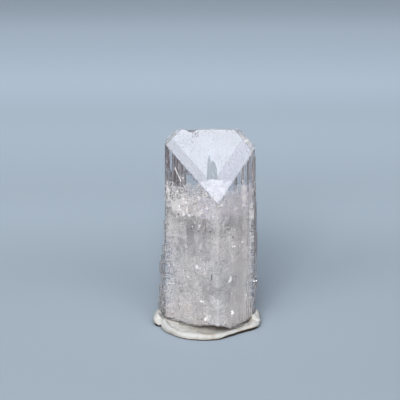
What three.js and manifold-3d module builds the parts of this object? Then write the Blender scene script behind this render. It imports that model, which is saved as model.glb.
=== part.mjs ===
// A danburite crystal: a stout four-sided prism that ends in a chisel of two sloping dome faces. It grew as one
// piece, with striated and stepped sides and a broken foot, and it stands in a pad of white putty.
// Millimetres, +Z up. The origin is on the surface that the pad stands on, under the middle of the whole.
import * as THREE from "three";
import { mergeVertices } from "three/addons/utils/BufferGeometryUtils.js";
import Module from "manifold-3d";

// Prism, in plan: its upright edges, anticlockwise from the front one, which points to -Y. Each face has the name of
// the edge that it starts from.
const FRONT_EDGE = new THREE.Vector2(2.16, -10.2);
const PRISM_EDGES = {
  rightFront: FRONT_EDGE,
  rightSide: new THREE.Vector2(9.69, -0.67),
  rightBack: new THREE.Vector2(5.9, 2.7),
  leftBack: new THREE.Vector2(0.72, 8.28),
  leftFront: new THREE.Vector2(-8.7, 0.14),
};
const TAPER = 0.02; // how much wider the foot is than the ridge, as a share
const TRUNK_BOTTOM = 0.3;
const TRUNK_TOP = 44;

// Chisel end: the front dome face rises from its apex on the front edge to a level ridge along X.
const APEX_HEIGHT = 30.05;
const DOME_SLOPE = THREE.MathUtils.degToRad(42.5);
const RIDGE_BACK = 12.86; // from the front edge, along Y
const RIDGE_HEIGHT = APEX_HEIGHT + RIDGE_BACK * Math.tan(DOME_SLOPE);

// Relief of the sides: striae run the whole height, laths and ledges are steps of growth.
const STRIA_PITCH = 0.62;
const STRIA_RELIEF = 0.09;
const LATH_ROOT = 0.45; // how deep a lath is rooted in its face
const LATH_END_SLOPE = 0.7; // run of a lath's sloping end for its thickness
const LATHS_ON_FACE = { rightFront: 17, rightSide: 5, rightBack: 11, leftBack: 17, leftFront: 20 };
const LATH_WIDTH = [0.7, 3.6];
const LATH_LENGTH = [1.6, 9.5];
const LATH_THICKNESS = [0.1, 0.27];
const LATH_ZONE = [2.5, 28.5]; // heights between which the laths lie

// Sub-crystals that stand out at the left and right edges: heights, how far out, and how far along each face.
const LEFT_LEDGES = [
  { low: 0.4, high: 22.6, out: 0.24, front: 2.9, back: 5.4 },
  { low: 0.4, high: 17.3, out: 0.5, front: 2.5, back: 4.3 },
  { low: 0.4, high: 15.0, out: 0.82, front: 2.2, back: 3.6 },
  { low: 10.9, high: 13.4, out: 1.14, front: 1.5, back: 2.4 },
  { low: 2.5, high: 8.1, out: 1.2, front: 1.9, back: 3.0 },
  { low: 2.9, high: 5.4, out: 1.4, front: 1.3, back: 2.1 },
];
const RIGHT_LEDGES = [
  { low: 0.4, high: 37.0, out: 0.2, front: 0.9, back: 3.1 },
  { low: 5.2, high: 31.4, out: 0.34, front: 1.2, back: 3.9 },
  { low: 6.6, high: 26.8, out: 0.47, front: 1.7, back: 3.2 },
  { low: 8.4, high: 20.4, out: 0.61, front: 1.5, back: 2.2 },
];
const LEDGE_CHAMFER = 0.12;

// A slab on the right side face ends just under the front dome, at its own steeper face.
const SIDE_SLAB = { from: 0.5, to: 5.0, low: 15.5, high: TRUNK_TOP, thickness: 0.5 };
const SIDE_SLAB_SLOPE = THREE.MathUtils.degToRad(46);
const SIDE_SLAB_DROP = 0.42;

// A slab at the top of the left back face rounds out the left shoulder.
const SHOULDER_SLAB = { from: 9.1, to: 12.1, low: 33.5, high: TRUNK_TOP, thickness: 0.34 };

// The back edge is cut off by a narrow face, which ends upwards in steps. Across is measured from its left end.
const BACK_CUT_LEFT = new THREE.Vector2(-0.3, 7.4);
const BACK_CUT_RIGHT = new THREE.Vector2(2.0, 6.9);
const BACK_CUT_DEPTH = 3;
const BACK_CUT_STEPS = [
  { from: -1.5, to: 0.45, top: 31.8 },
  { from: 0.45, to: 1.0, top: 33.0 },
  { from: 1.0, to: 1.7, top: 32.3 },
  { from: 1.7, to: 4.0, top: 30.9 },
];

// Chips: flattened bites out of the edges of the dome faces. Places, sizes and turns about X.
const CHIPS = [
  { at: [-3.3, 2.6, 42.9], size: [1.7, 2.6, 1.55], turn: 12 },
  { at: [-2.6, 1.2, 41.55], size: [1.35, 1.6, 0.92], turn: 42 },
  { at: [0.6, 8.7, 37.3], size: [1.5, 0.9, 1.0], turn: -30 },
];

// Broken foot: uneven, and chipped up highest under the front edge.
const FOOT_HEIGHT = 0.85;
const FOOT_ROUGHNESS = 0.3;
const FOOT_CHIP_RISE = 2.2;
const FOOT_CHIP_LEFT = 3.2;
const FOOT_CHIP_RIGHT = 1.9;
const FOOT_CHIP_DEPTH = 3.6;
const GROUND_WIDTH = 30;
const GROUND_DEPTH = 4;
const GROUND_CELL = 1.36;
const BEYOND_ALL = 120; // longer than the part in every direction

// Putty: a pressed pad with a raised rim, a hollow inside it and a lump at each side of the crystal.
const PAD_RIM = 1.5;
const PAD_AROUND = 60;
const PAD_BED = 0.35; // least thickness left under the crystal's foot
const SEAT_GAP = 0.32;
const SEAT_HEIGHT = 7; // how far up the crystal the putty can reach
const PRISM_HALF = 6.4; // from the middle of the prism to its faces
// Section of the pad from the middle of its underside, out over the rim and back in to the hollow: the share of the
// way out, then the height, from 0 on the surface to 1 at the rim.
const PAD_SECTION = [
  [0, 0],
  [0.5, 0],
  [0.955, 0],
  [0.985, 0.12],
  [1, 0.4],
  [0.993, 0.68],
  [0.97, 0.88],
  [0.935, 0.99],
  [0.9, 1],
  [0.86, 0.93],
  [0.81, 0.8],
  [0.74, 0.7],
  [0.6, 0.66],
  [0.3, 0.66],
  [0, 0.66],
];
// Waves of the rim's height round the pad, as shares of it.
const PAD_WAVES = [
  { rise: 0.07, count: 3, turn: 0.6 },
  { rise: 0.05, count: 7, turn: 0 },
];
const PAD_LUMPS = [
  { x: -10.3, y: -1.7, spread: 1.15, rise: 1.5 },
  { x: -9.1, y: 1.6, spread: 1.5, rise: 0.9 },
  { x: 10.1, y: -2.9, spread: 1.25, rise: 1.75 },
  { x: 9.2, y: 1.4, spread: 1.5, rise: 1.0 },
  { x: -1.6, y: 10.3, spread: 2.4, rise: 0.7 },
];
const PAD_OUTLINE = [
  [-0.46, -11.08],
  [2.6, -10.6],
  [5.2, -9.35],
  [8.0, -7.6],
  [10.35, -6.0],
  [11.45, -2.9],
  [11.2, 1.2],
  [9.6, 5.4],
  [6.3, 9.0],
  [1.6, 11.0],
  [-3.2, 10.5],
  [-7.4, 8.1],
  [-10.2, 4.4],
  [-11.4, 0.2],
  [-11.35, -3.1],
  [-9.75, -5.2],
  [-8.2, -7.9],
  [-5.6, -10.1],
].map(([x, y]) => new THREE.Vector3(x, y, 0));

const wasm = await Module();
wasm.setup();

// Seeded random numbers from 0 to 1, so that the crystal is the same on each run.
function randomRun(seed) {
  let state = seed;
  return () => {
    state = (Math.imul(state, 1664525) + 1013904223) >>> 0;
    return state / 4294967296;
  };
}

function between([low, high], share) {
  return low + (high - low) * share;
}

function solidFrom(geometry) {
  const bare = geometry.clone();
  bare.deleteAttribute("normal");
  bare.deleteAttribute("uv");
  const merged = mergeVertices(bare, 1e-3);
  return new wasm.Manifold(
    new wasm.Mesh({
      numProp: 3,
      vertProperties: new Float32Array(merged.attributes.position.array),
      triVerts: new Uint32Array(merged.index.array),
    }),
  );
}

function geometryFrom(solid) {
  const mesh = solid.getMesh();
  const geometry = new THREE.BufferGeometry();
  geometry.setAttribute("position", new THREE.BufferAttribute(mesh.vertProperties, 3));
  geometry.setIndex(new THREE.BufferAttribute(mesh.triVerts, 1));
  return geometry;
}

// Moves each vertex of a geometry by a function that changes a THREE.Vector3.
function reshaped(geometry, change) {
  const position = geometry.attributes.position;
  const point = new THREE.Vector3();
  for (let i = 0; i < position.count; i++) {
    change(point.fromBufferAttribute(position, i));
    position.setXYZ(i, point.x, point.y, point.z);
  }
  return geometry;
}

// The crystal widens a little towards its foot.
function taper(point) {
  const widening = 1 + TAPER * (1 - point.z / RIDGE_HEIGHT);
  point.x *= widening;
  point.y *= widening;
}

// An upright face between two edges. `along` runs with the face and `out` points out of it.
function uprightFace(name, start, end) {
  const along = end.clone().sub(start);
  const width = along.length();
  along.normalize();
  return { name, start, along, width, out: new THREE.Vector2(along.y, -along.x) };
}

function prismFaces() {
  const edges = Object.entries(PRISM_EDGES);
  return edges.map(([name, start], i) => uprightFace(name, start, edges[(i + 1) % edges.length][1]));
}

function pointOnFace(face, across, out) {
  return face.start.clone().addScaledVector(face.along, across).addScaledVector(face.out, out);
}

// Plan outline with the striae as small steps in it.
function striatedOutline(faces) {
  const random = randomRun(7);
  const points = [];
  for (const face of faces) {
    let across = 0;
    while (across < face.width) {
      const end = Math.min(across + STRIA_PITCH * (0.35 + 1.3 * random()), face.width);
      const relief = STRIA_RELIEF * random() ** 2;
      points.push(pointOnFace(face, across, relief), pointOnFace(face, end, relief));
      across = end;
    }
  }
  return points;
}

function upright(points, low, high) {
  const geometry = new THREE.ExtrudeGeometry(new THREE.Shape(points), {
    depth: high - low,
    bevelEnabled: false,
  });
  return geometry.translate(0, 0, low);
}

// A lath on a face: a flat slab with sloping ends, rooted in the face.
function lath(face, { from, to, low, high, thickness }) {
  const run = thickness * LATH_END_SLOPE;
  const profile = new THREE.Shape([
    new THREE.Vector2(low, -LATH_ROOT),
    new THREE.Vector2(high, -LATH_ROOT),
    new THREE.Vector2(high, 0),
    new THREE.Vector2(high - run, thickness),
    new THREE.Vector2(low + run, thickness),
    new THREE.Vector2(low, 0),
  ]);
  const geometry = new THREE.ExtrudeGeometry(profile, { depth: to - from, bevelEnabled: false });
  const start = pointOnFace(face, from, 0);
  const basis = new THREE.Matrix4().makeBasis(
    new THREE.Vector3(0, 0, 1),
    new THREE.Vector3(face.out.x, face.out.y, 0),
    new THREE.Vector3(face.along.x, face.along.y, 0),
  );
  return geometry.applyMatrix4(basis.setPosition(start.x, start.y, 0));
}

function scatteredLaths(face, random) {
  const laths = [];
  for (let i = 0; i < LATHS_ON_FACE[face.name]; i++) {
    const wide = between(LATH_WIDTH, random() ** 2);
    const long = between(LATH_LENGTH, random() ** 2);
    const from = (face.width - wide) * random();
    const low = between(LATH_ZONE, random() ** 1.3) - long * 0.5;
    const thickness = between(LATH_THICKNESS, random());
    laths.push(lath(face, { from, to: from + wide, low: Math.max(low, 0.5), high: low + long, thickness }));
  }
  return laths;
}

// The block beside an edge of the prism that one ledge fills, in the prism's own directions.
function ledge(corner, outward, towardsFront, towardsBack, { low, high, out, front, back }) {
  const tip = corner.clone().add(new THREE.Vector2(outward * out, 0));
  const plan = [
    tip,
    tip.clone().addScaledVector(towardsFront, front),
    tip.clone().addScaledVector(towardsFront, front).addScaledVector(towardsBack, back),
    tip.clone().addScaledVector(towardsBack, back),
  ];
  const geometry = new THREE.ExtrudeGeometry(new THREE.Shape(plan), {
    depth: high - low - 2 * LEDGE_CHAMFER,
    bevelSegments: 1,
    bevelThickness: LEDGE_CHAMFER,
    bevelSize: LEDGE_CHAMFER,
    bevelOffset: -LEDGE_CHAMFER,
  });
  return geometry.translate(0, 0, low + LEDGE_CHAMFER);
}

// Everything on the outer side of a plane, as a box large enough for the part.
function beyondPlane(point, normal) {
  const size = BEYOND_ALL;
  const turn = new THREE.Quaternion().setFromUnitVectors(new THREE.Vector3(0, 0, 1), normal);
  const box = new THREE.BoxGeometry(size, size, size).translate(0, 0, size / 2);
  return solidFrom(box.applyQuaternion(turn).translate(point.x, point.y, point.z));
}

function slopeNormal(slope, towards) {
  return new THREE.Vector3(0, towards * Math.sin(slope), Math.cos(slope));
}

function sideSlab(face) {
  const corner = face.start;
  const underDome = APEX_HEIGHT + (corner.y - FRONT_EDGE.y) * Math.tan(DOME_SLOPE) - SIDE_SLAB_DROP;
  const top = new THREE.Vector3(corner.x, corner.y, underDome);
  const slab = solidFrom(lath(face, SIDE_SLAB));
  return slab.subtract(beyondPlane(top, slopeNormal(SIDE_SLAB_SLOPE, -1)));
}

// What one step of the narrow back face cuts away: a block outside that face, from below the foot to the step's top.
function backCut({ from, to, top }) {
  const face = uprightFace("backCut", BACK_CUT_RIGHT, BACK_CUT_LEFT);
  const across = (along) => face.width - along;
  const plan = [
    pointOnFace(face, across(to), 0),
    pointOnFace(face, across(to), BACK_CUT_DEPTH),
    pointOnFace(face, across(from), BACK_CUT_DEPTH),
    pointOnFace(face, across(from), 0),
  ];
  return solidFrom(upright(plan, 0, top));
}

function chip({ at, size, turn }) {
  const bite = new THREE.IcosahedronGeometry(1, 1).scale(...size);
  return solidFrom(bite.rotateX(THREE.MathUtils.degToRad(turn)).translate(...at));
}

// Height of the broken foot: a level with a chip that rises towards the front edge.
function footHeight(x, y) {
  const across = x - FRONT_EDGE.x;
  const behind = (y - FRONT_EDGE.y) / FOOT_CHIP_DEPTH;
  const aside = across / (across < 0 ? FOOT_CHIP_LEFT : FOOT_CHIP_RIGHT);
  return FOOT_HEIGHT + FOOT_CHIP_RISE * Math.exp(-0.5 * (aside * aside + behind * behind));
}

// What lies below the broken foot, with a rough top.
function ground() {
  const random = randomRun(19);
  const cells = Math.round(GROUND_WIDTH / GROUND_CELL);
  const block = new THREE.BoxGeometry(GROUND_WIDTH, GROUND_WIDTH, GROUND_DEPTH, cells, cells, 1);
  const roughness = Array.from({ length: (cells + 1) ** 2 }, () => FOOT_ROUGHNESS * (random() - 0.5));
  const lane = (along) => Math.round((along / GROUND_WIDTH + 0.5) * cells);
  return reshaped(block, (point) => {
    if (point.z < 0) return;
    point.z = footHeight(point.x, point.y) + roughness[lane(point.x) * (cells + 1) + lane(point.y)];
  });
}

function crystalSolid() {
  const faces = prismFaces();
  const [rightFront, rightSide, , leftBack, leftFront] = faces;
  const random = randomRun(41);
  const slabs = faces.flatMap((face) => scatteredLaths(face, random));
  slabs.push(lath(leftBack, SHOULDER_SLAB));
  const back = (face) => face.along.clone().negate();
  for (const step of LEFT_LEDGES) {
    slabs.push(ledge(leftFront.start, -1, leftFront.along, back(leftBack), step));
  }
  for (const step of RIGHT_LEDGES) {
    slabs.push(ledge(rightSide.start, 1, back(rightFront), rightSide.along, step));
  }
  let body = solidFrom(upright(striatedOutline(faces), TRUNK_BOTTOM, TRUNK_TOP));
  for (const slab of slabs) body = body.add(solidFrom(slab));
  body = body.add(sideSlab(rightSide));
  for (const step of BACK_CUT_STEPS) body = body.subtract(backCut(step));
  body = solidFrom(reshaped(geometryFrom(body), taper));

  const apex = new THREE.Vector3(FRONT_EDGE.x, FRONT_EDGE.y, APEX_HEIGHT);
  const ridge = new THREE.Vector3(0, FRONT_EDGE.y + RIDGE_BACK, RIDGE_HEIGHT);
  body = body.subtract(beyondPlane(apex, slopeNormal(DOME_SLOPE, -1)));
  body = body.subtract(beyondPlane(ridge, slopeNormal(DOME_SLOPE, 1)));
  for (const bite of CHIPS) body = body.subtract(chip(bite));
  return body.subtract(solidFrom(ground()));
}

// The pad's outline as a distance from the origin for each direction.
function padReach() {
  const edge = new THREE.CatmullRomCurve3(PAD_OUTLINE, true).getPoints(PAD_AROUND * 8);
  const directions = edge.map((point) => Math.atan2(point.y, point.x));
  return (angle) => {
    const offset = directions.map((direction) => Math.abs(Math.sin((direction - angle) / 2)));
    const nearest = edge[offset.indexOf(Math.min(...offset))];
    return Math.hypot(nearest.x, nearest.y);
  };
}

function padLift(x, y) {
  const lift = ({ x: lx, y: ly, spread, rise }) => {
    const away = Math.hypot(x - lx, y - ly) / spread;
    return rise * Math.exp(-0.5 * away * away);
  };
  return PAD_LUMPS.reduce((sum, lump) => sum + lift(lump), 0);
}

// The pad is a turned section, pushed out of round to its outline and raised at its lumps.
function padSolid() {
  const reach = padReach();
  const section = PAD_SECTION.map(([out, height]) => new THREE.Vector2(out, height));
  const turned = new THREE.LatheGeometry(section, PAD_AROUND).rotateX(Math.PI / 2);
  return solidFrom(
    reshaped(turned, (point) => {
      const angle = Math.atan2(point.y, point.x);
      const out = reach(angle);
      point.x *= out;
      point.y *= out;
      if (point.z <= 0) return;
      const waves = PAD_WAVES.reduce((sum, { rise, count, turn }) => sum + rise * Math.sin(count * angle + turn), 1);
      point.z *= PAD_RIM * waves + padLift(point.x, point.y);
    }),
  );
}

// The crystal's foot, grown by the gap all round and lowered by it: what the pad leaves free.
function seat(crystalBody) {
  const lower = new THREE.BoxGeometry(GROUND_WIDTH, GROUND_WIDTH, SEAT_HEIGHT).translate(0, 0, SEAT_HEIGHT / 2);
  const foot = geometryFrom(crystalBody.intersect(solidFrom(lower)));
  const middle = PRISM_EDGES.rightSide.clone().add(PRISM_EDGES.leftFront).divideScalar(2);
  const growth = 1 + SEAT_GAP / PRISM_HALF;
  return solidFrom(
    reshaped(foot, (point) => {
      point.x = middle.x + (point.x - middle.x) * growth;
      point.y = middle.y + (point.y - middle.y) * growth;
      point.z = Math.max(point.z - SEAT_GAP, PAD_BED);
    }),
  );
}

function named(name, solid, color, roughness) {
  const material = new THREE.MeshStandardMaterial({ color, roughness, metalness: 0 });
  const mesh = new THREE.Mesh(geometryFrom(solid), material);
  mesh.name = name;
  return mesh;
}

const crystalBody = crystalSolid();
const root = new THREE.Group();
root.add(named("crystal", crystalBody, 0xe4e4ec, 0.08));
root.add(named("putty", padSolid().subtract(seat(crystalBody)), 0xe9e8e0, 0.6));

export default root;
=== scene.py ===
"""A clear to milky danburite crystal in a pad of mounting putty: the shapes and finishes that are shown.

Numbers are millimetres unless a name or a comment says otherwise. Each piece is worked out in the frame of
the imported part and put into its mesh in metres.
"""

import math

import bpy
import numpy as np
from bpy.props import FloatProperty, FloatVectorProperty, IntProperty, PointerProperty
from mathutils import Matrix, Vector


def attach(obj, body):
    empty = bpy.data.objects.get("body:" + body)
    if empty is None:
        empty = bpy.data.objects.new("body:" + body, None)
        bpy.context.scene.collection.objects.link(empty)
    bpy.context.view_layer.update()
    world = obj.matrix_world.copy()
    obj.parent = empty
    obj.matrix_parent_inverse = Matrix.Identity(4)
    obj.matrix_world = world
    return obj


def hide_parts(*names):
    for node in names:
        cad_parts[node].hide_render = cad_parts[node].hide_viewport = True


bl_info = {
    "name": "Danburite Crystal",
    "version": (1, 0, 0),
    "blender": (4, 5, 0),
    "location": "View3D > Sidebar > Danburite",
    "description": "Builds a danburite crystal with its milky inside, its putty pad and a plain studio",
    "category": "Add Mesh",
}

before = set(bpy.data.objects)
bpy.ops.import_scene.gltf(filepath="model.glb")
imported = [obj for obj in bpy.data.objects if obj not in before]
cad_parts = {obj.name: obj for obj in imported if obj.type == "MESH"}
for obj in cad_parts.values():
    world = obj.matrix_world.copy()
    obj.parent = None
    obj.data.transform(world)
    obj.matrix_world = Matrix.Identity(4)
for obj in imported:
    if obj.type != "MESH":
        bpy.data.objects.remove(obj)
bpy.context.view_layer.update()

MM = 0.001

# Upright edges of the prism, anticlockwise from the front one. A face has the number of its first edge.
PRISM_EDGES = np.array(((2.16, -10.2), (9.69, -0.67), (5.9, 2.7), (0.72, 8.28), (-8.7, 0.14)))
RIGHT_FRONT, RIGHT_SIDE, RIGHT_BACK, LEFT_BACK, LEFT_FRONT = range(5)
FRONT_X, FRONT_Y = PRISM_EDGES[RIGHT_FRONT]
SPANS = np.roll(PRISM_EDGES, -1, 0) - PRISM_EDGES
WIDTHS = np.hypot(*SPANS.T)
ALONG = SPANS / WIDTHS[:, None]
OUT = np.stack([ALONG[:, 1], -ALONG[:, 0]], 1)

APEX_HEIGHT = 30.05
RIDGE_Y = 2.66
RIDGE_HEIGHT = 41.834
DOME_SLOPE = math.radians(42.5)
TAPER = 0.02
TRUNK_LOW, TRUNK_HIGH = 0.3, 44.0
FOOT_BLEND = 4.3  # below this the prism's levels bend with its broken foot
CLEAR_ABOVE = 30.0
SLAB_ABOVE = 15.5
SHOULDER = (9.1, 12.1, 33.5, 0.34)  # a rib on the left back face: from, to across it, above, out

# Growth steps at the left and right edges: low, high, out, and along the front and the back face.
LEFT_LEDGES = (
    (0.4, 22.6, 0.24, 2.9, 5.4),
    (0.4, 17.3, 0.50, 2.5, 4.3),
    (0.4, 15.0, 0.82, 2.2, 3.6),
    (10.9, 13.4, 1.14, 1.5, 2.4),
    (2.5, 8.1, 1.20, 1.9, 3.0),
    (2.9, 5.4, 1.40, 1.3, 2.1),
)
RIGHT_LEDGES = (
    (0.4, 37.0, 0.20, 0.9, 3.1),
    (5.2, 31.4, 0.34, 1.2, 3.9),
    (6.6, 26.8, 0.47, 1.7, 3.2),
    (8.4, 20.4, 0.61, 1.5, 2.2),
)

# The narrow face that cuts off the back edge: its two ends, and how high each stretch along it reaches.
BACK_CUT = np.array(((-0.3, 7.4), (2.0, 6.9)))
BACK_ALONG = (BACK_CUT[1] - BACK_CUT[0]) / np.hypot(*(BACK_CUT[1] - BACK_CUT[0]))
BACK_OUT = np.array([-BACK_ALONG[1], BACK_ALONG[0]])
BACK_CUT_STEPS = ((-1.5, 0.45, 31.8), (0.45, 1.0, 33.0), (1.0, 1.7, 32.3), (1.7, 4.0, 30.9))


# ---------------------------------------------------------------- numbers and noise


def lattice_value(cell, seed):
    """A number from 0 to 1 for each whole-numbered lattice point, from a hash of its place and the seed."""
    x, y, z = (cell[..., i].astype(np.uint64) for i in range(3))
    mixed = x * np.uint64(73856093) ^ y * np.uint64(19349663) ^ z * np.uint64(83492791)
    mixed ^= np.uint64(seed * 2654435761 % (1 << 32))
    mixed = (mixed ^ (mixed >> np.uint64(13))) * np.uint64(1274126177) & np.uint64(0xFFFFFFFF)
    return ((mixed ^ (mixed >> np.uint64(16))) & np.uint64(0xFFFF)).astype(float) / 65535.0


def noise(points, cell, seed):
    """Smooth noise from -1 to 1: values at the corners of cubes of the cell's size, blended inside each cube
    by the smooth step of the distance along each axis."""
    place = np.asarray(points, float) / cell + 4096.0
    low = np.floor(place).astype(np.int64)
    share = place - low
    share = share * share * (3.0 - 2.0 * share)
    total = 0.0
    for corner in np.ndindex(2, 2, 2):
        weight = np.prod(np.where(corner, share, 1.0 - share), axis=-1)
        total = total + weight * lattice_value(low + np.array(corner), seed)
    return 2.0 * total - 1.0


def blocks(points, cell, seed):
    """Blocky noise from -1 to 1: one value for the whole of each cube of the cell's size."""
    place = np.floor(np.asarray(points, float) / cell + 4096.0).astype(np.int64)
    return 2.0 * lattice_value(place, seed) - 1.0


def smooth_step(low, high, value):
    share = np.clip((value - low) / (high - low), 0.0, 1.0)
    return share * share * (3.0 - 2.0 * share)


def between(low, high, share):
    return low + (high - low) * share


def bell(*ways):
    """exp(-(a squared + b squared + ...)): 1 in the middle, and next to nothing where one way passes 2."""
    return np.exp(-sum(way**2 for way in ways))


def unit(vectors):
    return vectors / np.linalg.norm(vectors, axis=-1, keepdims=True)


def flat(xy):
    """Places in plan as points at no height."""
    return np.concatenate([xy, np.zeros_like(xy[..., :1])], -1)


# ---------------------------------------------------------------- places on the crystal's faces


def in_plan(face, across, inward):
    """Places in plan on upright faces: so far across from the face's first edge, and so far inside it."""
    across, inward = np.asarray(across)[..., None], np.asarray(inward)[..., None]
    return PRISM_EDGES[face] + ALONG[face] * across - OUT[face] * inward


def widening(height):
    """How wide the crystal is against its plan: it widens evenly from its ridge down to its foot."""
    return (1.0 + TAPER * (1.0 - height / RIDGE_HEIGHT))[..., None]


def at_height(xy, height):
    """Points at heights above places in plan."""
    height = np.asarray(height, float)
    return np.concatenate([xy * widening(height), height[..., None]], -1)


def from_front(face, across):
    """The distance across a front face from its first edge, for a distance from the front edge."""
    return np.where(face == RIGHT_FRONT, across, WIDTHS[face] - across)


def face_depths(points, faces):
    """Distances inside some of the upright faces."""
    wider = widening(points[:, 2])
    return [(PRISM_EDGES[face] * wider - points[:, :2]) @ OUT[face] for face in faces]


def depth_inside(points):
    """Least distance to the flat faces of the prism, the back cut and the dome. It is negative outside."""
    dome = RIDGE_HEIGHT - np.abs(points[:, 1] - RIDGE_Y) * math.tan(DOME_SLOPE) - points[:, 2]
    back = (BACK_CUT[0] - points[:, :2]) @ BACK_OUT
    return np.min([*face_depths(points, range(5)), back, dome * math.cos(DOME_SLOPE)], 0)


def front_skin(points):
    """How near the two front faces a point is: 1 at the faces, falling off steeply at 1.8 inside them."""
    return np.exp(-((np.min(face_depths(points, (RIGHT_FRONT, LEFT_FRONT)), 0) / 1.8) ** 4))


def foot_height(xy):
    """The broken foot: a rough level, and a bell-shaped chip that rises towards the front edge."""
    across = xy[..., 0] - FRONT_X
    aside = across / np.where(across < 0, 4.2, 1.9)
    behind = (xy[..., 1] - FRONT_Y) / 3.6
    plan = flat(xy)
    rough = 0.13 * noise(plan, 1.3, 5) + 0.09 * noise(plan, 0.55, 6) + 0.06 * blocks(plan, 0.8, 7)
    low = 0.9 - 0.35 * smooth_step(3.0, 7.0, np.abs(xy[..., 0])) * smooth_step(2.0, -0.5, xy[..., 1])
    return low + 2.1 * np.exp(-0.5 * (aside * aside + behind * behind)) + rough


def well_inside(points, depth, over_foot):
    """Which points are more than `depth` under the faces and more than `over_foot` over the broken foot."""
    return (depth_inside(points) > depth) & (points[:, 2] > foot_height(points[:, :2]) + over_foot)


# ---------------------------------------------------------------- meshes


def put_mesh(name, points, faces, materials=(), slots=(0,), body="root", smooth=False):
    """An object at the origin from points in millimetres and arrays of faces. `slots` gives the material
    index of each array, or one for them all."""
    mesh = bpy.data.meshes.new(name)
    rows = [face for array in faces for face in array.tolist()]
    mesh.from_pydata((np.asarray(points) * MM).tolist(), [], rows)
    index = np.repeat(np.resize(slots, len(faces)), [len(array) for array in faces])
    mesh.polygons.foreach_set("material_index", index.astype(np.int32))
    mesh.polygons.foreach_set("use_smooth", np.full(len(index), smooth))
    for material in materials:
        mesh.materials.append(material)
    mesh.update()
    piece = bpy.data.objects.new(name, mesh)
    bpy.context.scene.collection.objects.link(piece)
    if body:
        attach(piece, body)
    return piece


def ring_faces(rows, around, flip=False):
    """Quads between the rings of a grid of rows x around points, closed round."""
    row, at = np.meshgrid(np.arange(rows - 1), np.arange(around), indexing="ij")
    after = (at + 1) % around
    quads = [row * around + at, row * around + after, (row + 1) * around + after, (row + 1) * around + at]
    quads = np.stack(quads, -1).reshape(-1, 4)
    return quads[:, ::-1] if flip else quads


def fan_faces(ring, centre, flip=False):
    """Triangles from a ring of point numbers to one centre point."""
    fan = np.stack([ring, np.roll(ring, -1), np.full(len(ring), centre)], -1)
    return fan[:, ::-1] if flip else fan


def ball(rows, around):
    """A closed unit ball of rows x around points with two poles: its points, quads and triangles."""
    polar = np.linspace(0, math.pi, rows + 2)[1:-1]
    angle = np.linspace(0, 2 * math.pi, around, endpoint=False)
    p, a = np.meshgrid(polar, angle, indexing="ij")
    points = np.stack([np.sin(p) * np.cos(a), np.sin(p) * np.sin(a), np.cos(p)], -1).reshape(-1, 3)
    points = np.concatenate([points, [[0, 0, 1], [0, 0, -1]]])
    top = fan_faces(np.arange(around), rows * around)
    base = fan_faces(np.arange((rows - 1) * around, rows * around), rows * around + 1, flip=True)
    return points, ring_faces(rows, around, flip=True), np.concatenate([top, base])


def carve(piece, cutters):
    """Cuts the cutters out of a piece, for good, and removes them."""
    for cutter in cutters:
        cut = piece.modifiers.new("cut", "BOOLEAN")
        cut.operation = "DIFFERENCE"
        cut.solver = "MANIFOLD"
        cut.object = cutter
    bpy.context.view_layer.update()
    seen = piece.evaluated_get(bpy.context.evaluated_depsgraph_get())
    mesh = bpy.data.meshes.new_from_object(seen)
    piece.modifiers.clear()
    old = piece.data
    piece.data = mesh
    bpy.data.meshes.remove(old)
    mesh.name = piece.name
    for cutter in cutters:
        shape = cutter.data
        bpy.data.objects.remove(cutter)
        bpy.data.meshes.remove(shape)


# ---------------------------------------------------------------- materials


def new_material(name, **values):
    """A material with one Principled BSDF, whose sockets are named with _ for a space."""
    material = bpy.data.materials.new(name)
    material.use_nodes = True
    shader = material.node_tree.nodes["Principled BSDF"]
    for socket, value in values.items():
        shader.inputs[socket.replace("_", " ")].default_value = value
    return material


def feed(tree, socket, value):
    """Sets an input socket to a value, or links it to the output that the value comes from."""
    if isinstance(value, bpy.types.NodeSocket):
        tree.links.new(value, socket)
    else:
        socket.default_value = value


def add_node(tree, kind, inputs, **settings):
    """A node in a tree, with its settings, and a value or a source for each input by name or number."""
    node = tree.nodes.new(kind)
    for key, value in settings.items():
        setattr(node, key, value)
    for socket, value in inputs.items():
        feed(tree, node.inputs[socket], value)
    return node


def math_node(tree, operation, *values):
    return add_node(tree, "ShaderNodeMath", dict(enumerate(values)), operation=operation).outputs[0]


def map_range(tree, value, low, high, to_low=0.0, to_high=1.0, kind="SMOOTHSTEP"):
    """A number from to_low to to_high by where the value is between low and high."""
    inputs = {"Value": value, "From Min": low, "From Max": high, "To Min": to_low, "To Max": to_high}
    return add_node(tree, "ShaderNodeMapRange", inputs, interpolation_type=kind).outputs[0]


def mix_colour(tree, share, first, second):
    return add_node(tree, "ShaderNodeMix", {0: share, 6: first, 7: second}, data_type="RGBA").outputs[2]


def object_place(tree):
    return tree.nodes.new("ShaderNodeTexCoord").outputs["Object"]


def join_to(material, socket, source):
    tree = material.node_tree
    tree.links.new(source, tree.nodes["Principled BSDF"].inputs[socket])


def add_bump(material, height, strength, distance):
    inputs = {"Height": height, "Strength": strength, "Distance": distance}
    join_to(material, "Normal", add_node(material.node_tree, "ShaderNodeBump", inputs).outputs[0])


GRAIN_INPUTS = (
    ("Place", "NodeSocketVector"),
    ("Coarse Scale", "NodeSocketFloat"),
    ("Fine Scale", "NodeSocketFloat"),
    ("First Colour", "NodeSocketColor"),
    ("Second Colour", "NodeSocketColor"),
    ("Mark Low", "NodeSocketFloat"),
    ("Mark High", "NodeSocketFloat"),
)


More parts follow.
